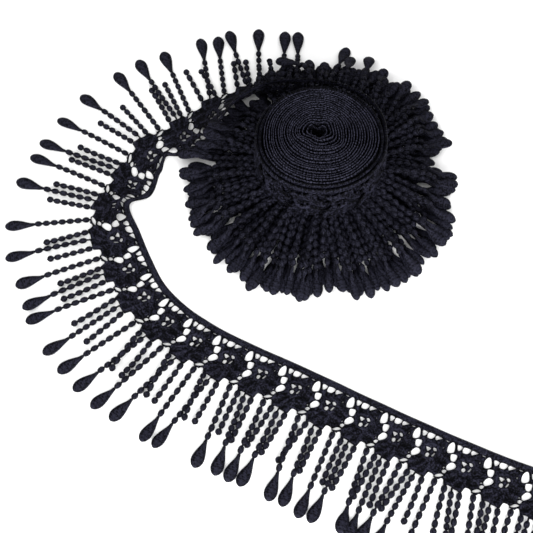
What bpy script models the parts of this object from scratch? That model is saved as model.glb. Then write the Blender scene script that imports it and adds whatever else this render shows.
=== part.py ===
# Tassel fringe trim: an embroidered lace band with a beaded fringe, part wound into a roll
# and part pulled off and laid out in a long curve. Metres, +Z up, the floor is z = 0 and the
# roll's axis is the z axis.
import math
from collections import namedtuple

import bmesh
import bpy
from mathutils import Matrix, Vector
from mathutils.geometry import delaunay_2d_cdt

MM = 0.001
GAP = 0.3 * MM  # between pieces that touch

# One repeat of the lace, along the band from the middle of a motif and across it from the
# heading edge. Each repeat is cut from CELL_START to CELL_START + PITCH.
PITCH = 27.0 * MM
CELL_START = -8.0 * MM
REPEATS = 26
SHEET = 2.0 * MM
BACKING_WIDTH = 2.2 * MM
Hole = namedtuple("Hole", "name along across length height turn")
HOLES = (
    Hole("bay between two motifs", 15.3, 8.9, 5.2, 8.2, 8),
    Hole("upper side gap", 10.7, 15.4, 4.8, 4.8, 20),
    Hole("lower side gap", 9.8, 22.0, 5.6, 6.2, -25),
    Hole("slot over the long strand", 14.8, 30.6, 6.6, 3.0, -8),
    Hole("window under the heading", 5.1, 6.7, 5.0, 4.0, 0),
)
HOLE_SIDES = 6
# Lower edge of the lace over one repeat: a shell with a notch beside it.
Edge = namedtuple("Edge", "along across")
LOWER_EDGE = (
    Edge(-8.0, 32.2),
    Edge(-6.2, 31.0),
    Edge(-4.0, 32.8),
    Edge(3.9, 34.2),
    Edge(15.0, 33.8),
    Edge(19.0, 32.2),
)
BAND_DEPTH = max(row.across for row in LOWER_EDGE) * MM + GAP + BACKING_WIDTH
EDGE_MIDDLE = 18.0 * MM  # a point on each cell's side keeps the lace supple there

# The pulled-off length, from its cut end to where it meets the roll. Each row gives the
# heading edge, the way across the lace, its droop below level and the way the fringe lies.
Station = namedtuple("Station", "motif x y z across droop fringe")
BAND = (
    Station(-0.45, 166.8, -244.0, 1.0, 246, 0, 252),
    Station(1, 130.1, -229.8, 1.0, 246, 0, 251),
    Station(3, 81.7, -207.5, 1.0, 244, 0, 249),
    Station(5, 37.0, -185.1, 1.0, 243, 0, 247),
    Station(7, -10.2, -160.3, 1.0, 242, 0, 247),
    Station(9, -57.2, -136.8, 1.0, 237, 0, 242),
    Station(10, -78.9, -124.0, 1.0, 230, 0, 231),
    Station(11, -97.4, -109.8, 1.0, 221, 0, 222),
    Station(12, -112.8, -92.5, 1.0, 211, 0, 212),
    Station(13, -123.5, -71.3, 1.0, 203, 0, 203),
    Station(14, -132.8, -48.0, 1.0, 196, 0, 195),
    Station(15, -141.5, -25.5, 4.5, 166, 5, 167),
    Station(16, -126.6, -16.5, 2.5, 142, 2, 155),
    Station(17, -115.2, 6.6, 2.0, 137, 1.5, 138),
    Station(18, -93.5, 21.5, 7.5, 126, 10, 117),
    Station(19, -76.5, 40.0, 15.5, 121, 23, 98),
    Station(20, -60.5, 57.5, 27.5, 114, 46, 90),
    Station(21, -36.5, 65.5, 37.0, 104, 72, 83),
    Station(22, -10.5, 63.0, 43.0, 92, 78, 79),
    Station(23, 14.0, 56.5, 47.0, 72, 82, 73),
    Station(24, 35.5, 42.0, 50.0, 50, 85, 62),
    Station(25, 46.6, 20.5, 53.0, 24, 88, 40),
    Station(25.7, 48.1, 2.0, 55.0, 2.5, 90, 18),
)

# Strands of one repeat: where each hangs along the edge, and how long it is.
Strand = namedtuple("Strand", "along long")
STRANDS = (
    Strand(-2.2 * MM, False),
    Strand(3.9 * MM, True),
    Strand(9.1 * MM, False),
    Strand(15.7 * MM, True),
)
# Outline of a strand lying down: distance from its root and width, in mm.
Width = namedtuple("Width", "at wide")
LONG_SHAPE = (Width(0, 3.6), Width(42, 3.3), Width(56, 9.2), Width(64, 4.6))
SHORT_SHAPE = (Width(0, 3.6), Width(35, 4.2))
STRAND_WIDE = 3.6
STRAND_HIGH = 2.9 * MM
TOP_SHARE = 0.6  # a strand's upper face against its lower one
ROOT_UNDER = 2.4 * MM  # from the middle of its backing down to a raised strand's under side
FRINGE_NODES = 8
# A strand whose root is off the floor droops in a curve, lands and lies level from there on.
LAND_LEAST = 10.0 * MM
LAND_SHARE = 1.2
BENDS = (0.4, 1.0)
REACH_LOST = 0.45  # how much less far it reaches for each mm it droops
END_LEAST = 6.0
OVER_SKIRT = 21.8  # from this motif on the fringe lies on the skirt's low layer
BACK_LEVEL = 3.4 * MM

# The wound roll.
ROLL_RADIUS = 46.8 * MM
FOOT_RADIUS = 44.0 * MM  # the bundled inner fringe under the lace
FOOT_HIGH = 19.5 * MM
LACE_FOOT = 21.0 * MM
ROLL_RIM = 54.5 * MM
ROLL_CROWN = 58.0 * MM
RIM_ROUND = Vector((1.5 * MM, 2.0 * MM))
EYE_RADIUS = 6.5 * MM
EYE_FLOOR = 42.0 * MM
TURN_STEP = 3.0 * MM  # half the distance between the raised turns
TURN_HIGH = 1.3 * MM
ROLL_SIDES = 36

# The skirt of fringe round the roll, in layers that lie on one another. Its strands start at
# root, land at level by a radius of lands, and end on rim.
Layer = namedtuple("Layer", "name root level rim lands first last shift")
LAYERS = (
    Layer("skirt_low", 2.0, 0.0, 0.0, 53, 0, 44, 0),
    Layer("skirt_middle", 8.0, 3.3, 0.0, 66, 19, 43, 1),
    Layer("skirt_top", 14.0, 6.6, 3.3, 80, 19, 43, 0.5),
)
SKIRT_PLACES = 44  # places for strands in a whole turn
RING_INNER = FOOT_RADIUS + GAP
RING_WIDE = 2.2 * MM
RING_HIGH = 3.0 * MM
RIM_DROP = (86.0 * MM, 90.0 * MM)  # the upper layers come down outside the short strands
SHORT_REACH = 83.0 * MM
SKIRT_WIDE = 3.4
DROP_WIDE = 9.2
DROP_LONG = 7.0  # from a strand's widest place to its end
Reach = namedtuple("Reach", "azimuth radius")
SKIRT_REACH = (
    Reach(-180, 104),
    Reach(-139, 106),
    Reach(-105, 109),
    Reach(-89, 103),
    Reach(-60, 108),
    Reach(-6, 109),
    Reach(20, 108),
    Reach(60, 106),
    Reach(94, 102),
    Reach(102, 59),
    Reach(122, 62),
    Reach(140, 71),
    Reach(156, 78),
    Reach(170, 91),
    Reach(180, 104),
)
UNEVEN = (0.0, -2.5, 1.0, -4.0, 2.0, -1.0)  # strands end a little apart, in mm

LACE_COLOUR = (0.013, 0.013, 0.021)
FRINGE_COLOUR = (0.015, 0.015, 0.024)
YARN_ROUGHNESS = 0.85


def smooth(rows, column, place):
    """A smooth curve through one column of a table, read at a place along its first column."""
    keys = [row[0] for row in rows]
    values = [getattr(row, column) for row in rows]
    i = max(0, min(len(keys) - 2, sum(place >= key for key in keys) - 1))

    def slope(k):
        low, high = max(0, k - 1), min(len(keys) - 1, k + 1)
        return (values[high] - values[low]) / (keys[high] - keys[low])

    step = keys[i + 1] - keys[i]
    s = (place - keys[i]) / step
    return (
        (2 * s**3 - 3 * s**2 + 1) * values[i]
        + (s**3 - 2 * s**2 + s) * step * slope(i)
        + (3 * s**2 - 2 * s**3) * values[i + 1]
        + (s**3 - s**2) * step * slope(i + 1)
    )


def straight(rows, place):
    """Straight-line reading of a two-column table."""
    for (a, low), (b, high) in zip(rows, rows[1:]):
        if place <= b:
            return low + (high - low) * (place - a) / (b - a)
    return rows[-1][1]


def toward(azimuth, droop=0.0):
    """Unit vector with this azimuth and this droop below level, in degrees."""
    a, d = math.radians(azimuth), math.radians(droop)
    return Vector((math.cos(a) * math.cos(d), math.sin(a) * math.cos(d), -math.sin(d)))


def lace_middle(motif, across):
    """A point on the middle surface of the band, whose droop stops at the floor."""
    heading = Vector([smooth(BAND, axis, motif) * MM for axis in "xyz"])
    heading.z = max(heading.z, SHEET / 2)
    steepest = math.asin(min(1.0, (heading.z - SHEET / 2) / BAND_DEPTH))
    droop = min(smooth(BAND, "droop", motif), math.degrees(steepest))
    return heading + across * toward(smooth(BAND, "across", motif), droop)


def lace_point(motif, across, lift):
    """A point this far off the band's middle surface, on its show side where lift is positive."""
    nudge = 0.02
    run = lace_middle(motif + nudge, across) - lace_middle(motif - nudge, across)
    fall = lace_middle(motif, across + MM) - lace_middle(motif, across)
    return lace_middle(motif, across) + lift * run.cross(fall).normalized()


def new_object(name, bm, rgb):
    """Makes an object of its own yarn from a bmesh, with its faces turned outwards."""
    bmesh.ops.recalc_face_normals(bm, faces=bm.faces)
    mesh = bpy.data.meshes.new(name)
    bm.to_mesh(mesh)
    bm.free()
    obj = bpy.data.objects.new(name, mesh)
    bpy.context.collection.objects.link(obj)
    material = bpy.data.materials.new(name + "_yarn")
    material.use_nodes = True
    shader = material.node_tree.nodes["Principled BSDF"]
    shader.inputs["Base Color"].default_value = (*rgb, 1.0)
    shader.inputs["Roughness"].default_value = YARN_ROUGHNESS
    obj.data.materials.append(material)
    return obj


def hole_outline(hole):
    """The corners of one gap in the lace."""
    turn = Matrix.Rotation(math.radians(hole.turn), 2)
    corners = []
    for k in range(HOLE_SIDES):
        a = math.tau * k / HOLE_SIDES
        corner = turn @ Vector((math.cos(a) * hole.length / 2, math.sin(a) * hole.height / 2))
        corners.append(Vector((hole.along * MM, hole.across * MM)) + corner * MM)
    return corners


def inside(point, outline):
    """Whether a point lies inside a convex outline that runs anticlockwise."""
    return all(
        (b - a).cross(point - a) > 0 for a, b in zip(outline, outline[1:] + outline[:1])
    )


def flat_cell():
    """One repeat of the lace laid flat: its points, and its triangles without the gaps."""
    end = CELL_START + PITCH
    edge = [Vector((row.along * MM, row.across * MM)) for row in LOWER_EDGE]
    outline = [Vector((end - k * PITCH / 3, 0)) for k in range(4)]
    outline += [Vector((CELL_START, EDGE_MIDDLE)), *edge, Vector((end, EDGE_MIDDLE))]
    loops = [outline] + [hole_outline(hole) for hole in HOLES]
    points, edges = [], []
    for loop in loops:
        start = len(points)
        points += loop
        edges += [(start + k, start + (k + 1) % len(loop)) for k in range(len(loop))]
    cell = delaunay_2d_cdt(points, edges, [], 0, 1e-9)
    # The outline is not convex, so triangles outside its lower edge go, as do those in gaps.
    kept = []
    for face in cell[2]:
        middle = sum((cell[0][v] for v in face), Vector((0, 0))) / 3
        below = middle.y > straight([tuple(e) for e in edge], middle.x)
        if not below and not any(inside(middle, loop) for loop in loops[1:]):
            kept.append(tuple(face))
    return cell[0], kept


def thick_sheet(bm, flat, faces):
    """Both faces of a sheet and the walls along its open edges. flat gives motif and across."""
    top = [bm.verts.new(lace_point(motif, across, SHEET / 2)) for motif, across in flat]
    low = [bm.verts.new(lace_point(motif, across, -SHEET / 2)) for motif, across in flat]
    used = {}
    for a, b, c in faces:
        bm.faces.new((top[a], top[b], top[c]))
        bm.faces.new((low[a], low[c], low[b]))
        for pair in ((a, b), (b, c), (c, a)):
            used[frozenset(pair)] = None if frozenset(pair) in used else pair
    for pair in filter(None, used.values()):
        a, b = pair
        bm.faces.new((top[b], top[a], low[a], low[b]))


def make_band():
    """The lace band: whole repeats joined side to side."""
    points, faces = flat_cell()
    flat, joined, index = [], [], {}
    for motif in range(REPEATS):
        here = []
        for point in points:
            place = (round(motif + point.x / PITCH, 6), round(point.y, 7))
            if place not in index:
                index[place] = len(flat)
                flat.append(place)
            here.append(index[place])
        joined += [tuple(here[v] for v in face) for face in faces]
    bm = bmesh.new()
    thick_sheet(bm, flat, joined)
    bmesh.ops.delete(bm, geom=[v for v in bm.verts if not v.link_faces], context="VERTS")
    return new_object("tail_band", bm, LACE_COLOUR)


def backing_across(along):
    """How far from the heading edge the lace ends, at this place along the repeat."""
    return straight([(row.along * MM, row.across * MM) for row in LOWER_EDGE], along)


def backing(bm, first, last):
    """The narrow strip under the lace that holds the strands."""
    flat, faces = [], []
    for motif in range(first, last):
        for row in LOWER_EDGE[(motif > first) :]:
            for extra in (GAP, GAP + BACKING_WIDTH):
                flat.append((motif + row.along * MM / PITCH, row.across * MM + extra))
    for k in range(0, len(flat) - 2, 2):
        faces += [(k, k + 1, k + 3), (k, k + 3, k + 2)]
    thick_sheet(bm, flat, faces)


def strand(bm, root, azimuth, shape, heights):
    """A lying strand: a four-sided bar that follows heights(distance) over the floor."""
    out, side = toward(azimuth), toward(azimuth + 90)
    rings = []
    for row in shape:
        at, half = row.at * MM, row.wide * MM / 2
        middle = Vector((root.x, root.y, 0)) + out * at
        low = Vector((0, 0, heights(at)))
        high = low + Vector((0, 0, STRAND_HIGH))
        corners = (side * half + low, -side * half + low)
        corners += (-side * half * TOP_SHARE + high, side * half * TOP_SHARE + high)
        rings.append([bm.verts.new(middle + corner) for corner in corners])
    bm.faces.new(rings[0])
    bm.faces.new(rings[-1][::-1])
    for near, far in zip(rings, rings[1:]):
        for k in range(4):
            bm.faces.new((near[k], far[k], far[k - 1], near[k - 1]))


def fuse(name, base, strands):
    """Joins the strands to their backing in one body."""
    body = new_object(name, base, FRINGE_COLOUR)
    hung = new_object(name + "_strands", strands, FRINGE_COLOUR)
    hung.hide_render = True
    hung.display_type = "WIRE"
    join = body.modifiers.new("join strands", "BOOLEAN")
    join.operation = "UNION"
    join.solver = "EXACT"
    join.object = hung
    return body


def drooping(root, level, rows):
    """Outline and heights of a loose strand that comes down from its root to this level."""
    drop = max(0.0, root.z - ROOT_UNDER - level)
    lands = LAND_LEAST + LAND_SHARE * drop
    if drop > STRAND_HIGH / 2:
        lost = REACH_LOST * drop / MM
        rows = [row._replace(at=max(0, row.at - lost)) for row in rows]
        bends = [share * lands / MM for share in BENDS]
        bends = [Width(at, STRAND_WIDE) for at in bends if at < rows[1].at - END_LEAST]
        rows = [rows[0], *bends, *rows[1:]]
    return rows, lambda at: level + drop * max(0.0, 1 - at / lands) ** 2


def make_tail_fringe(first, last, number):
    """One length of the fringe on the pulled-off band."""
    base, strands = bmesh.new(), bmesh.new()
    backing(base, first, last)
    for motif in range(first, last):
        for hung in STRANDS:
            place = motif + hung.along / PITCH
            middle = backing_across(hung.along) + GAP + BACKING_WIDTH / 2
            root = lace_point(place, middle, 0)
            level = BACK_LEVEL if place > OVER_SKIRT else 0.0
            shape, heights = drooping(root, level, LONG_SHAPE if hung.long else SHORT_SHAPE)
            strand(strands, root, smooth(BAND, "fringe", place), shape, heights)
    return fuse(f"tail_fringe_{number}", base, strands)


def around(verts):
    """Points in turn about the roll's axis."""
    return sorted(verts, key=lambda v: math.atan2(v.co.y, v.co.x) % math.tau)


def make_roll():
    """The wound roll: a lace wall on its bundled fringe, with a spiral of turns on top."""
    bm = bmesh.new()
    outer = ROLL_RADIUS - RIM_ROUND.x
    fine = 0.02 * MM
    grid = []
    for j in range(-2, int((outer - EYE_RADIUS) / TURN_STEP) + 2):
        row = []
        for k in range(ROLL_SIDES + 1):
            wanted = EYE_RADIUS + TURN_STEP * (j + 2 * k / ROLL_SIDES)
            radius = max(EYE_RADIUS, min(outer, wanted))
            raised = j % 2 == 1 and EYE_RADIUS + MM < wanted < outer - MM
            dome = ROLL_CROWN - (ROLL_CROWN - ROLL_RIM) * (radius / outer) ** 2
            out = toward(360 * k / ROLL_SIDES) * radius
            row.append(bm.verts.new((out.x, out.y, dome + TURN_HIGH * raised)))
        grid.append(row)
    for near, far in zip(grid, grid[1:]):
        for k in range(ROLL_SIDES):
            bm.faces.new((near[k], near[k + 1], far[k + 1], far[k]))
    bmesh.ops.remove_doubles(bm, verts=bm.verts, dist=fine)
    bmesh.ops.dissolve_degenerate(bm, edges=bm.edges, dist=fine)
    profile = (
        (ROLL_RADIUS, ROLL_RIM - RIM_ROUND.y),
        (ROLL_RADIUS, LACE_FOOT),
        (FOOT_RADIUS, FOOT_HIGH),
        (FOOT_RADIUS, 0.0),
    )
    rim = around(v for v in bm.verts if v.co.xy.length > outer - fine)
    eye = around(v for v in bm.verts if v.co.xy.length < EYE_RADIUS + fine)
    loops = [rim]
    for radius, height in profile:
        loops.append([bm.verts.new((*(v.co.xy.normalized() * radius), height)) for v in rim])
    floor = [bm.verts.new((v.co.x, v.co.y, EYE_FLOOR)) for v in eye]
    for near, far in [*zip(loops, loops[1:]), (floor, eye)]:
        for k in range(len(near)):
            bm.faces.new((near[k - 1], near[k], far[k], far[k - 1]))
    bm.faces.new(loops[-1][::-1])
    bm.faces.new(floor)
    return new_object("roll", bm, LACE_COLOUR)


def layer_height(layer, radius):
    """How high a skirt strand's under side is, at this distance from the roll's axis."""
    level, root = layer.level * MM, layer.root * MM
    lands = layer.lands * MM
    if radius < lands:
        return level + (root - level) * ((lands - radius) / (lands - RING_INNER)) ** 2
    near, far = RIM_DROP
    share = max(0.0, min(1.0, (radius - near) / (far - near)))
    return level + (layer.rim * MM - level) * share


def ring_backing(bm, layer):
    """The strip round the roll's foot that holds one layer of the skirt."""
    whole = layer.last - layer.first == SKIRT_PLACES
    rings = []
    for k in range(layer.first, layer.last + (0 if whole else 1)):
        out = toward(360 * (k + layer.shift - 0.5) / SKIRT_PLACES)
        corners = []
        for radius, up in ((0, 0), (RING_WIDE, 0), (RING_WIDE, RING_HIGH), (0, RING_HIGH)):
            corner = out * (RING_INNER + radius)
            corners.append(bm.verts.new((corner.x, corner.y, layer.root * MM + up)))
        rings.append(corners)
    if not whole:
        bm.faces.new(rings[0])
        bm.faces.new(rings[-1][::-1])
    for near, far in zip(rings, rings[1:] + (rings[:1] if whole else [])):
        for k in range(4):
            bm.faces.new((near[k], far[k], far[k - 1], near[k - 1]))


def skirt_shape(layer, run, start):
    """Outline of a skirt strand that runs this far, with places where its height bends."""
    bends = [0, (layer.lands * MM - start) / MM]
    if layer.level:
        bends.insert(1, bends[1] * BENDS[0])
    if run <= bends[-1] + END_LEAST:
        return [Width(0, SKIRT_WIDE), Width(run, SKIRT_WIDE)]
    shape = [Width(at, SKIRT_WIDE) for at in bends]
    neck, far = [(edge - start) / MM for edge in RIM_DROP]
    if run < far:
        return [*shape, Width(run, SKIRT_WIDE)]
    shape.append(Width(neck, SKIRT_WIDE))
    if layer.level:
        shape.append(Width(far, SKIRT_WIDE + 2))
    return [*shape, Width(run - DROP_LONG, DROP_WIDE), Width(run, SKIRT_WIDE + 1)]


def make_skirt(layer):
    """One layer of the skirt: long and short strands in turn, spread like spokes."""
    base, strands = bmesh.new(), bmesh.new()
    ring_backing(base, layer)
    start = RING_INNER + RING_WIDE / 2
    for k in range(layer.first, layer.last):
        azimuth = 360 * (k + layer.shift) / SKIRT_PLACES
        reach = straight(SKIRT_REACH, (azimuth + 180) % 360 - 180) * MM
        if reach > SHORT_REACH:
            reach = reach + UNEVEN[k % len(UNEVEN)] * MM if k % 2 == 0 else SHORT_REACH
        shape = skirt_shape(layer, (reach - start) / MM, start)
        root = toward(azimuth) * start
        strand(strands, root, azimuth, shape, lambda at: layer_height(layer, start + at))
    return fuse(layer.name, base, strands)


def main():
    for obj in list(bpy.data.objects):
        bpy.data.objects.remove(obj)
    make_roll()
    make_band()
    for number in range(FRINGE_NODES):
        cuts = [round(k * REPEATS / FRINGE_NODES) for k in (number, number + 1)]
        make_tail_fringe(*cuts, number + 1)
    for layer in LAYERS:
        make_skirt(layer)


main()
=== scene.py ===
# Black guipure lace trim with a beaded tassel fringe, part wound into an upright roll
import math
import random
from collections import namedtuple

import bpy
import numpy as np
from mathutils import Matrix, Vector
from mathutils.geometry import delaunay_2d_cdt


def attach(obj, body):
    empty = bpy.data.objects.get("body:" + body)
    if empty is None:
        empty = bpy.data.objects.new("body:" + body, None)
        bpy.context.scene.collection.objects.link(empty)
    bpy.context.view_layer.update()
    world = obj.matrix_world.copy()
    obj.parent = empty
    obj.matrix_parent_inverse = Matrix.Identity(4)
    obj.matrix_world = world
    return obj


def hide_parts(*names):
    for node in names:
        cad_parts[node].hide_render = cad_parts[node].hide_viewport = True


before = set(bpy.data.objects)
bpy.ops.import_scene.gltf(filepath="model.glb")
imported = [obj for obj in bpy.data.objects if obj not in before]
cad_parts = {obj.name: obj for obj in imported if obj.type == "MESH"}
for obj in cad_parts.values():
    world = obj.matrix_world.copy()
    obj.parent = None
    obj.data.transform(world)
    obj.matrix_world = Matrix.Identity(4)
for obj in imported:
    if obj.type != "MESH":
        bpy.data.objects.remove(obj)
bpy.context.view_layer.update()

mm = 0.001  # shapes below are worked out in millimetres
scene = bpy.context.scene


# camera: above the trim, looking down at 60 degrees, as the photo does
shot = {
    "looksAt": (-39.2, -76.1, 0.0),
    "elevation": 60.0,
    "distance": 1174.2,
    "lens": 108.07,
    "sensor": 36.0,
}

def makeCamera():
    camera = bpy.data.cameras.new("camera")
    camera.lens, camera.sensor_width = shot["lens"], shot["sensor"]
    obj = bpy.data.objects.new("camera", camera)
    tilt = math.radians(90 - shot["elevation"])
    back = Vector((0, -math.sin(tilt), math.cos(tilt))) * shot["distance"]
    obj.location = (Vector(shot["looksAt"]) + back) * mm
    obj.rotation_euler = (tilt, 0, 0)
    scene.collection.objects.link(obj)
    scene.camera = obj

makeCamera()
print("camera placed")


# small tools for tables, meshes and colours
def curveThrough(keys, values, places):  # smooth curve through a table, read at many places
    keys, values, places = (np.asarray(each, float) for each in (keys, values, places))
    slope = np.gradient(values, keys)
    slope[1:-1] = (values[2:] - values[:-2]) / (keys[2:] - keys[:-2])
    low = np.clip(np.searchsorted(keys, places, "right") - 1, 0, len(keys) - 2)
    step = keys[low + 1] - keys[low]
    s = (places - keys[low]) / step
    return (
        (2 * s**3 - 3 * s**2 + 1) * values[low]
        + (s**3 - 2 * s**2 + s) * step * slope[low]
        + (3 * s**2 - 2 * s**3) * values[low + 1]
        + (s**3 - s**2) * step * slope[low + 1]
    )

def easeIn(x):
    x = np.clip(x, 0.0, 1.0)
    return x * x * (3 - 2 * x)

def unit(v):
    return v / np.maximum(np.linalg.norm(v, axis=-1, keepdims=True), 1e-9)

def meshPiece(name, points, faces, uv, raised, material):  # the relief values give painted shade in the colour: 0 darkest, in a groove, 1 lightest, on a ridge
    mesh = bpy.data.meshes.new(name)
    mesh.from_pydata((np.asarray(points) * mm).tolist(), [], faces)
    layer = mesh.uv_layers.new(name="stitches")
    corners = np.zeros(len(mesh.loops), dtype=np.int32)
    mesh.loops.foreach_get("vertex_index", corners)
    layer.data.foreach_set("uv", (np.asarray(uv, np.float32) * mm)[corners].ravel())
    paintedReliefShade = mesh.attributes.new("raised", "FLOAT", "POINT")
    paintedReliefShade.data.foreach_set("value", np.asarray(raised, np.float32))
    mesh.shade_smooth()
    mesh.materials.append(material)
    obj = bpy.data.objects.new(name, mesh)
    scene.collection.objects.link(obj)
    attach(obj, "root")
    return obj

def hexToLinear(text):
    parts = [int(text[i : i + 2], 16) / 255 for i in (1, 3, 5)]
    return [p / 12.92 if p <= 0.04045 else ((p + 0.055) / 1.055) ** 2.4 for p in parts] + [1.0]

def addNode(tree, kind, settings, links):  # links: {input: a value or another node's output}
    node = tree.nodes.new(kind)
    for key, value in settings.items():
        setattr(node, key, value)
    for key, value in links.items():
        if isinstance(value, bpy.types.NodeSocket):
            tree.links.new(value, node.inputs[key])
        else:
            node.inputs[key].default_value = value
    return node


# Polyester embroidery yarn, dyed black and machine stitched: soft matt black with a slight
# navy cast, a faint sheen where the yarn turns to the light, and fine ribs of thread
yarn = {
    # dark and light ends of each colour pair: painted shade in the grooves, painted highlight on the ridges
    "laceColours": ("#020203", "#242430"),
    "fringeColours": ("#020203", "#21212c"),
    # the roll's light end is lighter than the lace's, as a painted highlight on the roll's lit top
    "rollColoursPaintedLit": ("#030304", "#333341"),
    "roughness": 0.6,
    "specular": 0.03,
    "grainSize": 1.3,  # mm; the real thread is 0.3 mm, too fine for this view
    "grainDepth": 0.8,
    "patchSize": 9.0,  # mm, patches of slightly lighter and darker stitching
    "paintedReliefShadeShare": 0.7,  # how much of the tone is painted shade in the grooves and painted highlight on the ridges
}

def makeYarn(name, colours):
    material = bpy.data.materials.new(name)
    material.use_nodes = True
    tree = material.node_tree
    shader = tree.nodes["Principled BSDF"]
    place = addNode(tree, "ShaderNodeUVMap", {"uv_map": "stitches"}, {})
    scaled = addNode(tree, "ShaderNodeMapping", {}, {
        "Vector": place.outputs["UV"],
        "Scale": (1 / mm, 1 / mm, 1 / mm),
    })
    patches = addNode(tree, "ShaderNodeTexNoise", {}, {
        "Vector": scaled.outputs["Vector"], "Scale": 1 / yarn["patchSize"], "Detail": 2.0,
    })
    grain = addNode(tree, "ShaderNodeTexNoise", {}, {
        "Vector": scaled.outputs["Vector"], "Scale": 1 / yarn["grainSize"], "Detail": 3.0, "Roughness": 0.7,
    })
    # painted shade and highlight: the relief values darken the base colour in grooves and lighten it on
    # ridges
    paintedReliefShade = addNode(tree, "ShaderNodeAttribute", {"attribute_name": "raised"}, {})
    mottled = addNode(tree, "ShaderNodeMath", {"operation": "MULTIPLY_ADD"}, {
        0: patches.outputs["Fac"], 1: 0.25, 2: grain.outputs["Fac"],
    })
    centred = addNode(tree, "ShaderNodeMath", {"operation": "MULTIPLY_ADD"}, {
        0: mottled.outputs["Value"], 1: 6.0, 2: -3.8,
    })
    tone = addNode(tree, "ShaderNodeMath", {"operation": "MULTIPLY_ADD", "use_clamp": True}, {
        0: paintedReliefShade.outputs["Fac"], 1: yarn["paintedReliefShadeShare"], 2: centred.outputs["Value"],
    })
    dark, light = (hexToLinear(text) for text in colours)
    mixed = addNode(tree, "ShaderNodeMix", {"data_type": "RGBA"}, {
        "Factor": tone.outputs["Value"], "A": dark, "B": light,
    })
    bump = addNode(tree, "ShaderNodeBump", {}, {
        "Height": grain.outputs["Fac"],
        "Strength": yarn["grainDepth"],
        "Distance": 0.8 * mm,
    })
    tree.links.new(mixed.outputs["Result"], shader.inputs["Base Color"])
    tree.links.new(bump.outputs["Normal"], shader.inputs["Normal"])
    shader.inputs["Roughness"].default_value = yarn["roughness"]
    shader.inputs["IOR"].default_value = 1.5
    shader.inputs["Specular IOR Level"].default_value = yarn["specular"]
    return material

laceYarn = makeYarn("embroidered lace yarn", yarn["laceColours"])
fringeYarn = makeYarn("satin stitched fringe yarn", yarn["fringeColours"])
rollYarnPaintedLit = makeYarn("wound lace heading yarn with painted highlight", yarn["rollColoursPaintedLit"])
print("materials made")


# the way the trim runs: motif numbers count repeats from the cut end. Each row gives the
# heading edge, the way across the lace and its droop below level
trim = {
    "pitch": 27.0,
    "depth": 37.0,  # from the heading edge to the lowest stitch of a motif
    "joinMotif": 25.7,  # where the loose turn meets the roll
    "joinAzimuth": 2.5,
    "joinRadius": 48.1,
    "turnGap": 2.8,  # between the roll's outer turns
    "lean": 1.5,  # degrees that the outer turn's foot leans out
    "sink": 0.35,  # this lace is thinner than its solid, so it lies lower
    "flatFront": 0.055,  # the roll is a little pressed in at the front
    "eye": (-1.8, 6.5),  # the inner turns are wound off centre
}
Station = namedtuple("Station", "motif x y z across droop")
stations = [
    Station(-0.45, 166.8, -244.0, 1.0, 246, 0),
    Station(1, 130.1, -229.8, 1.0, 246, 0),
    Station(3, 81.7, -207.5, 1.0, 244, 0),
    Station(5, 37.0, -185.1, 1.0, 243, 0),
    Station(7, -10.2, -160.3, 1.0, 242, 0),
    Station(9, -57.2, -136.8, 1.0, 237, 0),
    Station(10, -78.9, -124.0, 1.0, 230, 0),
    Station(11, -97.4, -109.8, 1.0, 221, 0),
    Station(12, -112.8, -92.5, 1.0, 211, 0),
    Station(13, -123.5, -71.3, 1.0, 203, 0),
    Station(14, -132.8, -48.0, 1.0, 196, 0),
    Station(15, -141.5, -25.5, 4.5, 176, 5),
    Station(16, -126.6, -16.5, 2.5, 142, 2),
    Station(17, -115.2, 6.6, 2.0, 137, 1.5),
    Station(18, -93.5, 21.5, 7.5, 126, 10),
    Station(19, -76.5, 40.0, 15.5, 121, 23),
    Station(20, -60.5, 57.5, 27.5, 114, 46),
    Station(21, -36.5, 65.5, 37.0, 104, 78),
    Station(22, -10.5, 63.0, 43.0, 92, 82),
    Station(23, 14.0, 56.5, 47.0, 72, 82),
    Station(24, 35.5, 42.0, 50.0, 50, 85),
    Station(25, 46.6, 20.5, 53.0, 24, 88),
    Station(25.7, 48.1, 2.0, 55.0, 2.5, 90),
]

def rollPlace(azimuth, radius):  # azimuth in radians
    inner = np.clip(1 - radius / trim["joinRadius"], 0, 1)
    x = radius * np.cos(azimuth) + trim["eye"][0] * inner
    flat = 1 - trim["flatFront"] * easeIn(-1.4 * np.sin(azimuth))
    return x, radius * np.sin(azimuth) * flat + trim["eye"][1] * inner

def spiralRadius(turned):  # turned: degrees wound since the loose turn met the roll
    return trim["joinRadius"] - trim["turnGap"] * turned / 360

def spiralMotif(turned):
    along = trim["joinRadius"] * turned - trim["turnGap"] * turned**2 / 720
    return trim["joinMotif"] + np.radians(along) / trim["pitch"]

def addOuterTurns(step=12, last=852):
    for turned in range(step, last, step):
        azimuth = trim["joinAzimuth"] - turned
        x, y = rollPlace(math.radians(azimuth), spiralRadius(turned))
        rim = 54.8 + 1.2 * turned / 360 + 0.35 * math.sin(turned / 23)
        lean = trim["lean"] * float(easeIn(turned / 60)) * float(easeIn((430 - turned) / 60))
        stations.append(Station(spiralMotif(turned), float(x), float(y), rim, azimuth, 90 - lean))

addOuterTurns()
keys = [row.motif for row in stations]

def column(name, motif):
    return curveThrough(keys, [getattr(row, name) for row in stations], motif)

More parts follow.
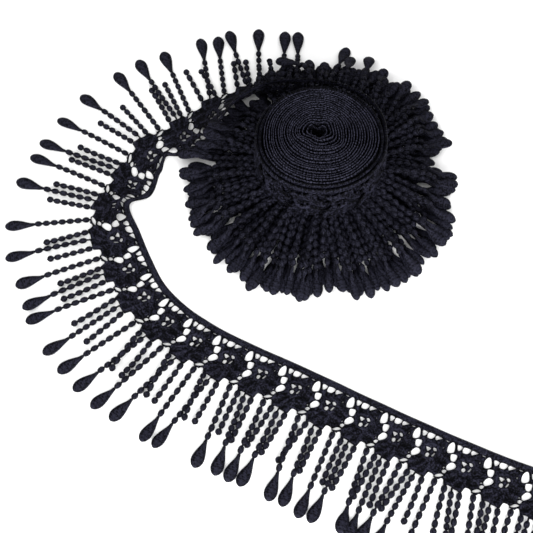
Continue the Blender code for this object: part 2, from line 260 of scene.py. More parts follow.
# the heading's own wave where the loose turn starts to rise: motif, and how far it moves in x, y
headingWave = [
    (-3, 0, 0), (16.1, 0, 0), (16.5, -0.8, 0.3), (16.8, -2.3, 0.7), (17.0, -3.1, 0.9),
    (17.25, -6.5, 4.1), (17.4, -7.9, 6.0), (17.55, -5.0, 3.5), (17.75, -1.0, 0.3),
    (18.15, 3.2, -0.8), (18.5, 3.5, 0.0), (19.0, 0.4, 1.0), (19.5, 0, 0), (20, 0, 0), (60, 0, 0),
]
slips = [  # motif, and how far its lower edge slips along the band where it bends and rises
    (-3, 0), (7, 0), (8.5, -2), (9.6, -2.5), (10.6, -3), (11.6, -4), (11.9, -1.4), (12.15, -1.5),
    (12.3, -0.5), (12.6, -1), (13, -1.2), (13.6, -0.8), (14.2, 0), (15.8, 0), (16.1, -1), (16.35, -0.8),
    (16.6, 2.2), (17, 4), (18, 4), (18.3, 2.5), (18.6, 2.4), (18.9, 7.5), (19.2, 8.5), (19.6, 9),
    (19.9, 12), (20.15, 13.5), (20.35, 10), (20.6, 8.5), (21, 8), (22, 4), (22.7, 0), (24, 0), (60, 0),
]
drape = {
    "waveDepth": 10.0,  # how far across the lace the heading's wave reaches
    "curl": 0.55,  # how much a raised stretch curves
    "moreCurl": (0.6, 19.9, 1.2),  # most here: how much more, at which motif, how many motifs wide
    "ripple": 0.25,  # how much the lace on the floor rises and falls
    "rippleTo": 21,
}
tuck = {  # a pleat, where the lace is pushed up and in
    "motif": 15.12,
    "wide": 0.52,
    "mm": 9.0,
    "from": 4.0,  # mm across, below the heading
    "over": 16.0,
    "foldAt": 11.0,
    "foldWide": 6.0,
    "foldShare": 0.5,
}

def readRows(rows, motif, column=1):  # smooth reading of a table by motif
    return curveThrough([row[0] for row in rows], [row[column] for row in rows], motif)

def laceMiddle(motif, across):
    x, y, z = (column(name, motif) for name in "xyz")
    z = np.maximum(z, 1.0)
    steepest = np.degrees(np.arcsin(np.minimum(1.0, (z - 1.0) / trim["depth"])))
    droop = np.radians(np.minimum(column("droop", motif), steepest))
    heading = np.radians(column("across", motif))
    # a raised stretch is steep at its heading and lands level
    more, most, wide = drape["moreCurl"]
    curl = (drape["curl"] + more * np.exp(-(((motif - most) / wide) ** 2))) * np.sin(2 * droop)
    start, rate = droop + curl / 2, -curl / trim["depth"] - 1e-6
    out = (np.sin(start + rate * across) - np.sin(start)) / rate
    down = (np.cos(start) - np.cos(start + rate * across)) / rate
    point = np.stack([x + np.cos(heading) * out, y + np.sin(heading) * out, z - down], -1)
    tucked = tuck["mm"] * np.exp(-(((motif - tuck["motif"]) / tuck["wide"]) ** 2))
    slipped = readRows(slips, motif) * across / trim["depth"]
    inward = tucked * easeIn((across - tuck["from"]) / tuck["over"])
    point[..., 0] += slipped * np.sin(heading) - inward * np.cos(heading)
    point[..., 1] += -slipped * np.cos(heading) - inward * np.sin(heading)
    fold = np.exp(-(((across - tuck["foldAt"]) / tuck["foldWide"]) ** 2))
    point[..., 2] += tuck["foldShare"] * tucked * fold
    fade = np.exp(-((across / drape["waveDepth"]) ** 2))
    for k in (0, 1):
        point[..., k] += fade * readRows(headingWave, motif, k + 1)
    ripple = drape["ripple"] * (1 + np.sin(motif * 2.9 + across * 0.16) * np.sin(motif * 1.7))
    point[..., 2] += np.where(motif < drape["rippleTo"], ripple, 0.0) - trim["sink"]
    return point

def lacePoint(motif, across, lift):  # lift is off the band's middle, on its show side
    motif, across = np.asarray(motif, float), np.asarray(across, float)
    run = laceMiddle(motif + 0.02, across) - laceMiddle(motif - 0.02, across)
    fall = laceMiddle(motif, across + 0.5) - laceMiddle(motif, across - 0.5)
    return laceMiddle(motif, across) + unit(np.cross(run, fall)) * np.asarray(lift)[..., None]


# one repeat of the lace, in mm along the band and across it from the heading edge
lace = {
    "start": -4.65,  # no gap crosses this line
    "grain": 1.0,  # spacing of the mesh's own points
    "halfEdge": 0.32,
    "halfBody": 0.62,
    "round": 1.1,  # how far in from an edge the lace is thinner
}
gaps = {
    "under the heading, first": [(-3.6, 5.3), (-0.8, 4.9), (1.1, 5.1), (1.3, 7.0), (0.4, 8.5), (-0.9, 7.6)],
    "under the heading, middle": [(2.1, 5.0), (6.7, 4.9), (7.4, 6.6), (6.9, 9.0), (5.4, 9.4), (3.1, 8.6)],
    "under the heading, third": [(8.2, 5.3), (11.7, 5.1), (11.1, 7.8), (10.1, 9.2), (8.6, 8.1)],
    "bay": [(14.3, 5.1), (16.1, 5.0), (17.5, 8.2), (17.0, 12.7), (15.4, 13.7), (12.5, 11.8), (12.5, 9.2)],
    "upper side": [(9.2, 12.8), (11.5, 12.8), (13.4, 14.0), (12.1, 18.0), (9.7, 18.2), (8.7, 16.4)],
    "lower side": [
        (8.5, 19.2), (11.0, 19.4), (12.9, 22.8), (12.3, 25.3), (10.7, 25.8), (7.6, 23.0), (7.0, 20.7),
    ],
    "small": [(11.5, 26.4), (13.3, 26.3), (14.5, 27.7), (14.0, 28.8), (12.2, 28.8)],
    "slot": [(12.4, 30.3), (15.0, 30.2), (17.7, 32.6), (17.2, 33.5), (15.2, 33.0), (12.9, 31.4)],
    "sliver": [(18.0, 5.6), (19.6, 5.1), (21.2, 5.5), (19.7, 6.1)],
    "button, upper left": [(-3.5, 15.9), (-2.6, 14.4), (-1.0, 14.1), (-0.5, 15.0), (-1.9, 16.7)],
    "button, upper right": [(0.8, 15.6), (4.2, 15.4), (4.1, 16.6), (2.3, 18.4), (1.3, 17.1)],
    "button, lower left": [(-3.3, 18.1), (-2.5, 17.9), (-1.6, 20.2), (-1.7, 21.2), (-2.7, 20.6)],
    "button, lower right": [(0.2, 20.3), (1.4, 19.4), (2.8, 20.6), (2.4, 22.5), (0.6, 22.5)],
    "speck, left": [(19.9, 11.0), (20.7, 11.2), (20.5, 12.3), (19.9, 12.0)],
    "speck, low": [(13.9, 24.4), (14.7, 24.6), (14.6, 25.6), (13.8, 25.4)],
}
lowerEdge = [
    (-4.65, 32.3), (-4.1, 33.0), (-3.7, 34.8), (-3.3, 36.9), (-1.6, 37.5), (0.0, 37.0),
    (2.6, 36.9), (3.4, 37.2), (4.4, 36.0), (7.0, 35.8), (8.4, 36.8), (9.8, 36.7),
    (10.4, 35.2), (11.3, 33.2), (12.2, 32.6), (13.2, 33.1), (14.0, 34.4), (17.9, 34.4),
    (18.5, 33.0), (19.8, 32.3), (22.35, 32.3),
]

def closedCurve(points, steps):
    points = np.asarray(points, float)
    count = len(points)
    rows = np.vstack([points[-2:], points, points[:3]])
    places = np.arange(count * steps) / steps
    return np.stack([curveThrough(np.arange(-2, count + 3), rows[:, k], places) for k in (0, 1)], -1)

def insideLoop(points, loop):  # even-odd rule
    a, b = loop, np.roll(loop, -1, axis=0)
    x, y = points[:, :1], points[:, 1:]
    crosses = (a[:, 1] > y) != (b[:, 1] > y)
    rise = np.where(b[:, 1] == a[:, 1], 1e-9, b[:, 1] - a[:, 1])
    return (crosses & (x < a[:, 0] + (y - a[:, 1]) * (b[:, 0] - a[:, 0]) / rise)).sum(1) % 2 == 1

def edgeDistance(points, loops):
    best = np.full(len(points), 99.0)
    for loop in loops:
        a, b = loop, np.roll(loop, -1, axis=0)
        ab = b - a
        t = ((points[:, None] - a) * ab).sum(-1) / np.maximum((ab**2).sum(-1), 1e-9)
        near = a + np.clip(t, 0, 1)[..., None] * ab
        best = np.minimum(best, np.linalg.norm(points[:, None] - near, axis=-1).min(1))
    return best

def laceRepeat():
    pitch, start, grain = trim["pitch"], lace["start"], lace["grain"]
    holes = [closedCurve(points, 3) for points in gaps.values()]
    sides = np.arange(grain, 32.0, grain)
    along = np.linspace(start, start + pitch, 24)
    outline = [(a, 0.0) for a in along[::-1]] + [(start, t) for t in sides]
    outline += lowerEdge + [(start + pitch, t) for t in sides[::-1]]
    outline = np.array(outline)
    grid = []
    rows = np.arange(grain * 0.6, 37.4, grain * 0.87)
    for k, t in enumerate(rows):
        shift = grain / 2 * (k % 2)
        grid += [(a, t) for a in np.arange(start + grain * 0.6 + shift, start + pitch - 0.4, grain)]
    grid = np.array(grid)
    keep = insideLoop(grid, outline) & (edgeDistance(grid, [outline, *holes]) > 0.42 * grain)
    for hole in holes:
        keep &= ~insideLoop(grid, hole)
    grid = grid[keep]
    points, edges = [], []
    for loop in [outline, *holes]:
        first = len(points)
        points += [Vector(p) for p in loop]
        edges += [(first + k, first + (k + 1) % len(loop)) for k in range(len(loop))]
    points += [Vector(p) for p in grid]
    made = delaunay_2d_cdt(points, edges, [], 0, 1e-7)
    flat = np.array([tuple(p) for p in made[0]])
    faces = np.array([tuple(f) for f in made[2]])
    middle = flat[faces].mean(1)
    kept = insideLoop(middle, outline)
    for hole in holes:
        kept &= ~insideLoop(middle, hole)
    # the two sides are joined to the next repeats, so they aren't edges of the lace
    top = np.array([(start - 9, 0.0), (start + pitch + 9, 0.0), (start + pitch + 9, -3), (start - 9, -3)])
    low = np.array([(start - 9, 32.3), (start, 32.3), *lowerEdge, (start + pitch + 9, 32.3),
                    (start + pitch + 9, 60), (start - 9, 60)])
    return flat, faces[kept], edgeDistance(flat, [top, low, *holes])

# raised cords of the show side, in mm: how high each stands, then its place and width
relief = {
    "headingDeep": 4.6,
    "headingCord": (0.4, 2.1),  # height, spacing across
    "headingStitch": (0.25, 2.25),  # height, spacing along
    "button": (0.2, 18.0),
    "buttonRing": (0.6, 5.9, 1.0),
    "shellRing": (0.35, 11.4, 0.9),
    "fan": (0.4, 15, 0.35),  # height, rays, and how much they turn outward
    "rim": (0.4, 1.3, 0.7),
}

def laceRelief(flat, inward):  # half thickness and the raised cords
    along, across = flat[:, 0], flat[:, 1]
    body = easeIn(inward / lace["round"])
    half = lace["halfEdge"] + (lace["halfBody"] - lace["halfEdge"]) * body
    headed = easeIn((relief["headingDeep"] - across) / 0.8)
    heading = 0.0
    for (high, spacing), place in ((relief["headingCord"], across), (relief["headingStitch"], along)):
        heading = heading + headed * high * np.abs(np.sin(np.pi * place / spacing))
    right, low = along - relief["button"][0], across - relief["button"][1]
    away, turn = np.hypot(right, low), np.arctan2(low, right)
    below = easeIn((across - 6) / 4)
    ring = 0.0
    for high, at, wide in (relief["buttonRing"], relief["shellRing"]):
        ring = ring + high * np.exp(-(((away - at) / wide) ** 2))
    high, rays, swirl = relief["fan"]
    fan = high * np.cos(rays * turn + swirl * away) * easeIn((away - 6.8) / 2) * below
    high, at, wide = relief["rim"]
    rim = high * np.exp(-(((inward - at) / wide) ** 2)) * easeIn((across - 6) / 3)
    return half, body * (heading + ring + fan + rim)

def joinRepeats(first, last):
    flat, faces, inward = repeat
    half, raised = laceRelief(flat, inward)
    index, order, joined = {}, [], []
    for motif in range(first, last):
        here = []
        for k, (a, t) in enumerate(flat):
            place = (round(motif + a / trim["pitch"], 4), round(t, 3))
            if place not in index:
                index[place] = len(order)
                order.append((motif + a / trim["pitch"], t, k))
            here.append(index[place])
        joined.append(np.array(here)[faces])
    motif, across, source = (np.array(c) for c in zip(*order))
    return motif, across, half[source], raised[source], np.vstack(joined)

def makeLace(name, first, last, material):
    motif, across, half, raised, faces = joinRepeats(first, last)
    upper = lacePoint(motif, across, half + raised)
    lower = lacePoint(motif, across, -half - 0.5 * raised * (motif > 20))
    count = len(motif)
    low = faces[:, ::-1] + count
    pairs = np.vstack([faces[:, [0, 1]], faces[:, [1, 2]], faces[:, [2, 0]]])
    code = np.sort(pairs, axis=1) @ np.array([count, 1])
    _, where, uses = np.unique(code, return_index=True, return_counts=True)
    rim = pairs[where[uses == 1]]
    walls = np.stack([rim[:, 1], rim[:, 0], rim[:, 0] + count, rim[:, 1] + count], -1)
    uv = np.stack([motif * trim["pitch"], across], -1)
    allFaces = faces.tolist() + low.tolist() + walls.tolist()
    used = np.unique(np.concatenate([faces.ravel(), low.ravel()]))
    renumber = np.full(2 * count, -1)
    renumber[used] = np.arange(len(used))
    allFaces = [[int(renumber[v]) for v in face] for face in allFaces]
    points = np.vstack([upper, lower])[used]
    # painted shade: the cords' height darkens the lace's colour in grooves and lightens it on the cords
    paintedReliefShade = np.tile(np.clip(raised / 0.6, 0, 1), 2)[used]
    return meshPiece(name, points, allFaces, np.vstack([uv, uv])[used], paintedReliefShade, material)

repeat = laceRepeat()
tailLace = makeLace("tail_lace", 0, 26, laceYarn)
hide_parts("tail_band")
rollLace = makeLace("roll_lace", 26, 46, laceYarn)
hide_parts("roll")
print("lace made:", len(tailLace.data.polygons), len(rollLace.data.polygons), "faces")


# the roll's inner turns: the heading's rounded edge shows on top, plain lace below it
turns = {
    "fromMotif": 45.8,  # where the outer turns' lace ends
    "eye": 4.0,
    "gap": 1.85,  # closer than the two outer turns
    "step": 0.85,  # mm along
    "foot": 21.0,
    "rim": 56.2,
    "crown": 58.0,
    "eyeDip": 5.0,  # how far the turns round the eye have sunk
    "halfThick": 0.36,
    "halfThin": 0.3,
    "stitch": 2.4,  # the bumps along the heading's edge
    "dent": (0.5, 0.7),  # the wobble that neighbours share, and how much more there is near the eye
    "ownWave": 0.13,  # what each turn adds to it
    "ownNick": 0.08,
    "rimWave": 0.33,
}

def slowNoise(turned, seed):
    waves = [(0.013, 1.0), (0.031, 0.8), (0.057, 0.6), (0.117, 0.45)]
    return sum(k * np.sin(turned * f + seed * (3 + i)) for i, (f, k) in enumerate(waves))

def makeTurns():
    wide = np.arange(300, 1200.0)
    firstTurned = float(np.interp(turns["fromMotif"], spiralMotif(wide), wide))
    radii = [spiralRadius(firstTurned)]
    turned = [firstTurned]
    while radii[-1] > turns["eye"]:
        turned.append(turned[-1] + math.degrees(turns["step"] / radii[-1]))
        loose = 1 + 0.5 * float(easeIn((15 - radii[-1]) / 8))
        radii.append(radii[-1] - turns["gap"] * loose * (turned[-1] - turned[-2]) / 360)
    turned, radius = np.array(turned), np.array(radii)
    azimuth = np.radians(trim["joinAzimuth"] - turned)
    along = np.concatenate([[0], np.cumsum(np.radians(np.diff(turned)) * radius[1:])])
    # neighbours share one wobble, stronger near the eye, and each has a little of its own
    dent = turns["dent"][0] + turns["dent"][1] * easeIn((26 - radius) / 16)
    shared = np.sin(2 * azimuth + 0.08 * radius + 1.2) + 0.6 * np.sin(3 * azimuth - 0.11 * radius)
    shared += 0.45 * np.sin(5 * azimuth + 0.15 * radius + 2.0)
    radius = radius + dent * shared * easeIn((46 - radius) / 4) + turns["ownWave"] * slowNoise(turned, 1)
    radius += turns["ownNick"] * np.sin(along * 0.9 + 2 * np.sin(along * 0.13))
    dome = 1 - (radius / trim["joinRadius"]) ** 2
    rim = turns["rim"] + (turns["crown"] - turns["rim"]) * dome + turns["rimWave"] * slowNoise(turned, 2)
    rim -= turns["eyeDip"] * easeIn((9 - radius) / 6)
    # the section goes up the outer side, over the thick heading and down the inner side
    thick, thin = turns["halfThick"], turns["halfThin"]
    outer = [
        (thin, turns["foot"]), (thin, -5.2), (thick, -4.2), (thick + 0.08, -2.4), (thick, -0.7), (0.22, 0.0),
    ]
    section = outer + [(-out, up) for out, up in outer[::-1]]
    points, uv, faces = [], [], []
    stitch = 0.3 * np.abs(np.sin(along * np.pi / turns["stitch"])) - 0.15
    for out, up in section:
        heading = -4.6 < up < 1
        r = radius + out + (stitch * np.sign(out) * 0.6 if heading else 0)
        z = np.where(up > 1, up, rim + up + (stitch if heading else 0))
        x, y = rollPlace(azimuth, r)
        points.append(np.stack([x, y, z], -1))
        uv.append(np.stack([along, np.full_like(along, up + out)], -1))
    count, wide = len(turned), len(section)
    points, uv = np.stack(points, 1).reshape(-1, 3), np.stack(uv, 1).reshape(-1, 2)
    for k in range(count - 1):
        for j in range(wide):
            n = (j + 1) % wide
            faces.append((k * wide + j, k * wide + n, (k + 1) * wide + n, (k + 1) * wide + j))
    faces += [tuple(range(wide))[::-1], tuple((count - 1) * wide + j for j in range(wide))]
    # painted highlight on the heading's top edge and its stitches, painted shade down the turns' sides
    shadeFactor = [1.0 if up == 0 else 0.25 if -1 < up < 1 else 0.0 for _, up in section]
    paintedReliefShade = (np.array(shadeFactor)[None, :] * (0.5 + 1.6 * (stitch[:, None] + 0.15))).ravel()
    piece = meshPiece("roll_turns", points, faces, uv, paintedReliefShade, rollYarnPaintedLit)
    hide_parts("roll")
    return piece, float(along[-1])

rollTurns, wound = makeTurns()
print("inner turns made:", round(wound), "mm wound")


# the bundled fringe inside the roll's foot, with its strands as ribs
foot = {"radius": 42.6, "low": 0.2, "top": 21.5, "ribs": 96, "depth": 0.9}

def makeFoot():
    sides = foot["ribs"] * 4
    a = np.arange(sides) * 2 * np.pi / sides
    rib = foot["depth"] * np.cos(a * foot["ribs"])
    low, top = foot["low"], foot["top"]
    levels = [(-0.6, low), (0, 1.5), (0, top - 2), (-2.0, top), (-14, top - 1), (-38, top - 3)]
    points, uv = [(0, 0, low)], [(0, 0)]
    for inset, z in levels:
        r = foot["radius"] + inset + rib * (1 if inset > -3 else 0.3)
        points += [(x, y, z) for x, y in zip(*rollPlace(a, r))]
        uv += [(k, z) for k in range(sides)]
    points.append((0, 0, top - 4))
    uv.append((0, 0))
    faces = []
    for ring in range(len(levels) - 1):
        for k in range(sides):
            n = (k + 1) % sides
            here, above = 1 + ring * sides, 1 + (ring + 1) * sides
            faces.append((here + k, here + n, above + n, above + k))
    last = 1 + (len(levels) - 1) * sides
    for k in range(sides):
        n = (k + 1) % sides
        faces.append((0, 1 + n, 1 + k))
        faces.append((len(points) - 1, last + k, last + n))
    piece = meshPiece("roll_foot", points, faces, uv, np.zeros(len(points)), fringeYarn)
    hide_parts("roll")

makeFoot()
print("foot made")


# strands: beads on two threads, and a padded drop or a ball at the end
strands = {
    "longLength": 64.0,
    "shortLength": 35.0,
    "beadPitch": 6.35,
    "beadWide": 4.5,
    "beadHigh": 3.6,
    "neckWide": 1.5,
    "thread": (0.65, 0.5),  # half width and half height of the bare threads above the first bead
    "sides": 10,
    "sink": 0.35,  # strands press into what they lie on
    "taut": 2.5,  # strands reach this much further on the straight stretch, up to the next motif
    "tautTo": 12.5,
    "lowRoot": 1.2,
    "stiffness": 16.0,  # mm, the tightest bend over what is beneath
}
dropWidth = [(0, 1.1), (3.3, 1.7), (6.6, 2.8), (9.9, 3.8), (13.2, 4.5), (15.4, 4.7), (17.6, 4.4), (19.8, 3.4),
             (21.1, 2.2), (22, 0.4)]
dropHeight = [(0, 0.9), (3.3, 1.1), (6.6, 1.4), (10, 1.6), (17, 1.6), (20, 1.3), (21.4, 0.8), (22, 0.3)]
ballWide = 5.0

class Ground:  # height of whatever lies on the floor so far, on a 1 mm grid
    def __init__(self, low, high):
        self.low = np.array(low)
        self.height = np.zeros(np.array(high) - self.low + 1)

    def cell(self, points):
        return np.clip(np.rint(points - self.low).astype(int), 0, np.array(self.height.shape) - 1)

    def under(self, points):
        cells = self.cell(points)
        return self.height[cells[..., 0], cells[..., 1]]

    def cover(self, points, wide, top, thick):
        reach = np.arange(-6, 7)
        dx, dy = np.meshgrid(reach, reach, indexing="ij")
        away = np.hypot(dx, dy)
        for (x, y), w, z, h in zip(self.cell(points), wide, top, thick):
            mask = away < w
            domed = z - h * (1 - np.sqrt(np.maximum(0, 1 - (away / max(w, 0.5)) ** 2)))
            rows, cols = (x + dx)[mask], (y + dy)[mask]
            wideX, wideY = self.height.shape
            inside = (rows >= 0) & (cols >= 0) & (rows < wideX) & (cols < wideY)
            rows, cols = rows[inside], cols[inside]
            self.height[rows, cols] = np.maximum(self.height[rows, cols], domed[mask][inside])

ground = Ground((-260, -350), (190, 160))

def strandProfile(isLong, length, lead):  # place, half width, half height along a strand
    places = [(at, *strands["thread"]) for at in np.arange(0, lead, 1.1)]
    last = (length - dropWidth[-1][0] if isLong else length - ballWide) - lead
    count = max(1, int(round(last / strands["beadPitch"])))
    pitch = last / count
    offsets = (-0.44, -0.33, -0.14, 0.14, 0.33, 0.44)
    for k in range(count):
        middle = lead + (k + 0.5) * pitch
        for off in offsets:
            share = math.sqrt(max(0.0, 1 - (off / 0.47) ** 2))
            wide = max(strands["neckWide"], strands["beadWide"] * share) / 2
            high = max(strands["neckWide"] * 0.9, strands["beadHigh"] * share) / 2
            places.append((middle + off * pitch, wide, high))
    last += lead
    if isLong:
        for at in (0.3, 2.5, 5, 7.5, 10, 12.5, 15, 17, 19, 20.5, 21.5):
            wide, high = (float(np.interp(at, *zip(*table))) for table in (dropWidth, dropHeight))
            places.append((last + at, wide, high))
    else:
        half = ballWide / 2
        for angle in (-70, -45, -15, 15, 45, 70):
            share = math.cos(math.radians(angle))
            middle = last + half + half * math.sin(math.radians(angle))
            places.append((middle, half * share, 0.85 * half * share))
    return np.array(places)

def layStrand(root, azimuth, isLong, length, bend, lead, start, rise, sink):
    # where a strand lies: its points, falling from the root and resting on what is beneath
    at, wide, high = strandProfile(isLong, length, lead).T
    total = at[-1]
    turn = np.radians(azimuth + bend * (at / total) ** 1.5)
    level = at.copy()
    for _ in range(2):
        step = np.diff(level, prepend=0)
        xy = np.stack([np.cumsum(np.cos(turn) * step), np.cumsum(np.sin(turn) * step)], -1) + root[:2]
        side = np.stack([-np.sin(turn), np.cos(turn)], -1) * (0.5 * wide)[:, None]
        beneath = np.maximum.reduce([ground.under(xy), ground.under(xy + side), ground.under(xy - side)])
        rest = np.where(beneath > 0.1, np.maximum(beneath - sink, 0.0), 0.0) + high
        apart = at[:, None] - at[None, :]
        rest = (rest[None, :] - apart**2 / (2 * strands["stiffness"])).max(1)
        drop = max(0.0, root[2] - rest[0])
        lands = 8 + 1.1 * drop
        hang = rest + drop * np.clip(1 - at / lands, 0, 1) ** rise
        z = root[2] + (hang - root[2]) * easeIn(at / start)
        slope = np.gradient(z, at)
        level = np.cumsum(np.sqrt(np.clip(1 - slope**2, 0.05, 1)) * np.diff(at, prepend=0))
    return np.column_stack([xy, z]), wide, high, at

def strandMesh(points, wide, high, roll, at, store):
    run = unit(np.gradient(points, axis=0))
    side = unit(np.cross(run, np.array([0, 0, 1.0])))
    up = np.cross(side, run)
    side, up = side * math.cos(roll) + up * math.sin(roll), up * math.cos(roll) - side * math.sin(roll)
    count = strands["sides"]
    a = np.arange(count) * 2 * np.pi / count
    dip = np.where(wide > 3, 0.18, 0.0)[:, None] * (1 - np.abs(np.cos(a))[None, :] * 1.25)
    cos, sin = np.cos(a)[None, :], np.sin(a)[None, :] * (1 - dip)
    ring = points[:, None] + side[:, None] * (wide[:, None] * cos)[..., None]
    ring = ring + up[:, None] * (high[:, None] * sin)[..., None]
    first = store["count"]
    rings = len(points)
    # painted shade: beads are lighter where they face up or down, darker at their sides and in the thin
    # necks; drops get bands of painted shade and highlight around their padding
    top = np.sin(a)
    bead, drop = 0.15 + 0.85 * np.abs(top), 0.35 + 0.65 * np.cos(3 * a) ** 2
    bead = bead[None, :] * np.clip(wide / 2.2, 0.2, 1)[:, None]
    shadeFactor = np.where((wide > 2.9)[:, None], drop[None, :], bead)
    store["raised"] += [shadeFactor.ravel(), np.zeros(2)]
    tips = np.stack([points[0] - run[0] * 0.3, points[-1] + run[-1] * 0.5])
    store["points"] += [ring.reshape(-1, 3), tips]
    around = np.linspace(0, 12, count)
    sideUv = np.stack([np.tile(around, rings), np.repeat(at, count)], -1)
    store["uv"] += [sideUv, np.array([(0, 0), (0, at[-1])])]
    for k in range(rings - 1):
        for j in range(count):
            n = (j + 1) % count
            here, onward = first + k * count, first + (k + 1) * count
            store["faces"].append((here + j, here + n, onward + n, onward + j))
    near, far = first + rings * count, first + rings * count + 1
    end = first + (rings - 1) * count
    for j in range(count):
        n = (j + 1) % count
        store["faces"].append((near, first + n, first + j))
        store["faces"].append((far, end + j, end + n))
    store["count"] += rings * count + 2

def newStore():
    return {"points": [], "faces": [], "uv": [], "raised": [], "count": 0}

def storePiece(name, store, node):
    points, uv, raised = np.vstack(store["points"]), np.vstack(store["uv"]), np.concatenate(store["raised"])
    piece = meshPiece(name, points, store["faces"], uv, raised, fringeYarn)
    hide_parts(node)
    return piece

# where the four strands of a repeat hang, and how they lie motif by motif
Hung = namedtuple("Hung", "along across isLong lean lead extra")  # extra: mm longer than the others
hungStrands = (
    Hung(-2.4, 37.2, False, "second", 0.0, 0.0),
    Hung(3.6, 36.6, True, "tassel", 2.4, 0.0),
    Hung(8.5, 36.3, False, "first", 0.0, 0.0),
    Hung(16.0, 33.9, True, "junction", 0.6, 2.5),
)
Lean = namedtuple("Lean", "motif second tassel first junction")
leans = (
    Lean(0, 252, 250, 250, 248), Lean(1, 255, 253, 255, 258), Lean(2, 257, 259, 252, 245),
    Lean(3, 248, 239, 236, 242), Lean(4, 245, 246, 244, 250), Lean(5, 243, 246, 245, 248),
    Lean(6, 243, 249, 236, 251), Lean(7, 242, 246, 241, 248), Lean(8, 247, 251, 246, 249),
    Lean(9, 244, 234, 249, 237), Lean(10, 238, 227, 246, 226), Lean(11, 236, 222, 238, 217),
    Lean(12, 225, 218, 217, 202), Lean(13, 208, 205, 206, 200), Lean(14, 198, 194, 198, 186),
    Lean(15, 168, 166, 162, 153), Lean(16, 155, 158, 156, 148), Lean(17, 145, 139, 128, 123),
    Lean(18, 115, 121, 113, 111), Lean(19, 114, 97, 116, 97), Lean(20, 98, 107, 101, 93),
    Lean(21, 97, 87, 84, 87), Lean(22, 82, 76, 78, 72), Lean(23, 76, 80, 74, 76),
    Lean(24, 72, 78, 66, 63), Lean(25, 48, 42, 34, 26),
)
stretches = {  # mm by which some strands reach further or less far than the rest
    (9, "first"): 3, (10, "first"): 3, (11, "first"): 2, (14, "junction"): -2, (15, "second"): -1,
    (15, "junction"): -2, (16, "tassel"): 1, (16, "first"): 2, (17, "tassel"): -2, (17, "second"): -2,
    (17, "junction"): 1, (18, "second"): 1, (18, "tassel"): 2, (18, "junction"): -2,
    (19, "second"): -1, (19, "tassel"): -5, (19, "junction"): -8, (19, "first"): -7, (20, "tassel"): -5,
    (20, "junction"): -0.5, (20, "second"): -9, (20, "first"): -6, (21, "tassel"): 10.5, (21, "junction"): 12,
    (22, "junction"): 7, (23, "tassel"): -4, (23, "junction"): 4,
}

def spin(turned):
    return trim["joinAzimuth"] - turned

# the skirt: fringe of the roll's own turns. Inner turns come out lower and reach less far
skirt = {
    "turns": 12,
    "motifs": 11.6,  # in each turn below the two outer ones
    "rootHeights": (18.0, 2.5),  # outermost and innermost
    "rootRadii": (46.6, 42.0),
    "further": 2.0,  # mm by which the outermost tips pass the reach below
    "lost": 1.4,  # mm of reach from one turn to the next one in
    "lostBehind": 0.4,  # share of that behind the roll, where the loose turn holds them
    "behind": (105, 170),  # azimuths
    "sink": 1.5,  # crowded strands press into each other
    "uneven": 4.0,
    "slides": (0, -2, 2, -4, 4, -6, 6),  # degrees a drop may slide off its neighbours
    "dropWidths": (0.96, 0.9, 0.84, 0.76),  # drops that stand partly on edge look narrower
    "shortest": 16.0,
    "shortestLong": 34.0,  # a shorter one has no room for its drop
}
rootLimits = ((0, 24, 50, 72, 104, 130), (18, 12, 9, 7, 9, 18))  # azimuth and root height under the band
skirtReach = [  # azimuth, and how far the tips lie from the roll's axis
    (-180, 109), (-170, 107), (-164, 109), (-156, 111), (-150, 109), (-144, 104), (-139, 113), (-132, 112),
    (-126, 111), (-120, 117), (-113, 115), (-105, 112), (-96, 116), (-90, 108), (-84, 103), (-78, 112),
    (-72, 115), (-60, 113), (-54, 119),
    (-46, 115), (-36, 117), (-28, 117), (-24, 119), (-15, 110), (-12, 102), (-6, 116),
    (0, 107), (6, 93), (12, 99), (18, 111), (26, 114), (31, 110), (37, 117), (48, 115), (60, 115), (72, 118),
    (86, 114), (100, 113), (106, 110), (114, 109), (118, 106), (121, 91), (124, 84), (127.5, 87), (131, 94),
    (142, 96), (147, 93), (155, 93), (163, 97), (168, 106), (174, 109), (180, 109),
]

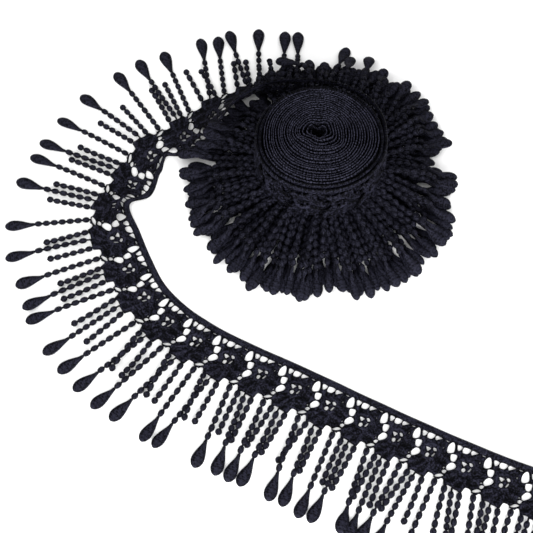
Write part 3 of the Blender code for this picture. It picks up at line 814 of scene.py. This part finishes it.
def makeSkirt():
    chance = random.Random(7)
    # the band beside the roll lies there first, so strands rest on it
    motif, across = np.meshgrid(np.arange(16.8, 18.6, 0.04), np.arange(0.0, 12.0, 1.2))
    band = lacePoint(motif, across, np.full(motif.shape, 0.8)).reshape(-1, 3)
    ground.cover(band[:, :2], np.full(len(band), 1.6), band[:, 2], np.full(len(band), 0.1))
    crowd = np.zeros((2, 360))  # how many balls and how many drops lie over each degree
    rows = []
    for row in reversed(range(skirt["turns"])):
        inner = row / (skirt["turns"] - 1)
        rootHeight, rootRadius = (a + (b - a) * inner for a, b in (skirt["rootHeights"], skirt["rootRadii"]))
        rootRadius -= 3.5 * (row > 0) * (1 - inner)
        store = newStore()
        first, last = spiralMotif(360 * row), spiralMotif(360 * row + 360)
        if row > 1:
            first, last = skirt["motifs"] * (row + 2), skirt["motifs"] * (row + 3)
        for motif in range(math.ceil(first), math.floor(last) + 1):
            for hung in hungStrands:
                share = (motif + hung.along / trim["pitch"] - first) / (last - first)
                azimuth = (spin(360 * share) + chance.uniform(-1.5, 1.5) + 180) % 360 - 180
                height = rootHeight + (0.0 if hung.across > 36 else 1.5)
                height = min(height, float(np.interp(azimuth, *rootLimits)))
                x, y = rollPlace(math.radians(azimuth), rootRadius)
                toward = azimuth + chance.uniform(-2, 2)
                near = [np.arange(round(toward + slide) - 3, round(toward + slide) + 4) % 360
                        for slide in skirt["slides"]]
                lying = crowd[int(hung.isLong)]
                best = min(range(len(near)), key=lambda k: lying[near[k]].sum() + 0.1 * k)
                toward += skirt["slides"][best]
                lying[near[best]] += 1
                tip = skirt["further"] + float(np.interp(toward, *zip(*skirtReach)))
                lost = skirt["lostBehind"] if skirt["behind"][0] < azimuth < skirt["behind"][1] else 1
                tip -= skirt["lost"] * row * lost + chance.uniform(0, skirt["uneven"])
                tip -= 0 if hung.isLong else strands["longLength"] - strands["shortLength"]
                toward = math.radians(toward)
                away = (tip * math.cos(toward) - x, tip * math.sin(toward) - y)
                length = math.hypot(*away) + 0.12 * height
                if length < skirt["shortest"]:
                    continue
                points, wide, high, at = layStrand(
                    np.array([x, y, height]), math.degrees(math.atan2(away[1], away[0])),
                    hung.isLong and length > skirt["shortestLong"], length, chance.uniform(-5, 5),
                    0.0, 4, 2.2, skirt["sink"])
                wide = wide * np.where(at > length - 20, chance.choice(skirt["dropWidths"]), 1.0)
                strandMesh(points, wide, high, chance.uniform(-0.35, 0.35), at, store)
                ground.cover(points[:, :2], wide, points[:, 2] + high, high)
        node = ("skirt_top", "skirt_middle", "skirt_low")[row // 4]
        rows.append(storePiece(f"skirt_turn_{row + 1}", store, node))
        print("skirt turn", row + 1, "has", len(store["faces"]), "faces")
    return rows[::-1]

skirtRows = makeSkirt()

# one strand at the back is caught under its neighbours and lies bent aside
caught = {"motif": 22, "lean": "tassel", "azimuth": 97.0, "bend": 72.0, "length": 62.0}

def makeTailFringe():
    chance = random.Random(3)
    pieces = []
    for number in range(8):
        first, last = round(number * 26 / 8), round((number + 1) * 26 / 8)
        store = newStore()
        for motif in range(first, last):
            lean = leans[motif]
            for hung in hungStrands:
                place = motif + hung.along / trim["pitch"]
                root = lacePoint(np.array([place]), np.array([hung.across]), np.array([0.0]))[0]
                root[2] = max(root[2], strands["lowRoot"])
                reach = strands["longLength"] if hung.isLong else strands["shortLength"]
                reach += chance.uniform(-1, 1) + hung.extra + stretches.get((motif, hung.lean), 0)
                reach += strands["taut"] if motif < strands["tautTo"] else 0
                azimuth, bend = getattr(lean, hung.lean), chance.uniform(-5, 5)
                if (motif, hung.lean) == (caught["motif"], caught["lean"]):
                    azimuth, bend, reach = caught["azimuth"], caught["bend"], caught["length"]
                points, wide, high, at = layStrand(
                    root, azimuth, hung.isLong, reach, bend, hung.lead, 3, 2.0, strands["sink"])
                strandMesh(points, wide, high, chance.uniform(-0.2, 0.2), at, store)
                ground.cover(points[:, :2], wide, points[:, 2] + high, high)
        pieces.append(storePiece(f"tail_strands_{number + 1}", store, f"tail_fringe_{number + 1}"))
    return pieces

tailFringe = makeTailFringe()
print("loose fringe made")


# a plain white table and soft studio light
studio = {"floor": "#f4f4f4", "sky": "#ffffff", "skyStrength": 0.8, "keyPower": 6.0, "fillPower": 3.0,
          "frontPower": 32.0}

def makeStudio():
    size, level = 3.0, -0.0004  # metres; just below the lowest stitch
    corners = [(x * size, y * size, level) for x, y in ((-1, -1), (1, -1), (1, 1), (-1, 1))]
    mesh = bpy.data.meshes.new("table")
    mesh.from_pydata(corners, [], [(0, 1, 2, 3)])
    floor = bpy.data.objects.new("table", mesh)
    scene.collection.objects.link(floor)
    material = bpy.data.materials.new("matt white board")
    material.use_nodes = True
    shader = material.node_tree.nodes["Principled BSDF"]
    shader.inputs["Base Color"].default_value = hexToLinear(studio["floor"])
    shader.inputs["Roughness"].default_value = 0.9
    shader.inputs["Specular IOR Level"].default_value = 0.1
    mesh.materials.append(material)
    world = bpy.data.worlds.new("studio")
    world.use_nodes = True
    sky = world.node_tree.nodes["Background"]
    sky.inputs["Color"].default_value = hexToLinear(studio["sky"])
    sky.inputs["Strength"].default_value = studio["skyStrength"]
    scene.world = world
    for name, power, at, wide in (
        ("key", studio["keyPower"], (-0.5, -0.5, 1.1), 0.6),
        ("fill", studio["fillPower"], (0.7, 0.3, 0.9), 0.9),
        ("front", studio["frontPower"], (0.1, -1.2, 0.45), 0.8),
    ):
        light = bpy.data.lights.new(name, "AREA")
        light.energy, light.size = power, wide
        lamp = bpy.data.objects.new(name, light)
        lamp.location = at
        lamp.rotation_euler = (Vector((-0.04, -0.05, 0.0)) - Vector(at)).to_track_quat("-Z", "Y").to_euler()
        scene.collection.objects.link(lamp)
    scene.view_settings.view_transform = "Standard"

makeStudio()
print("studio set")
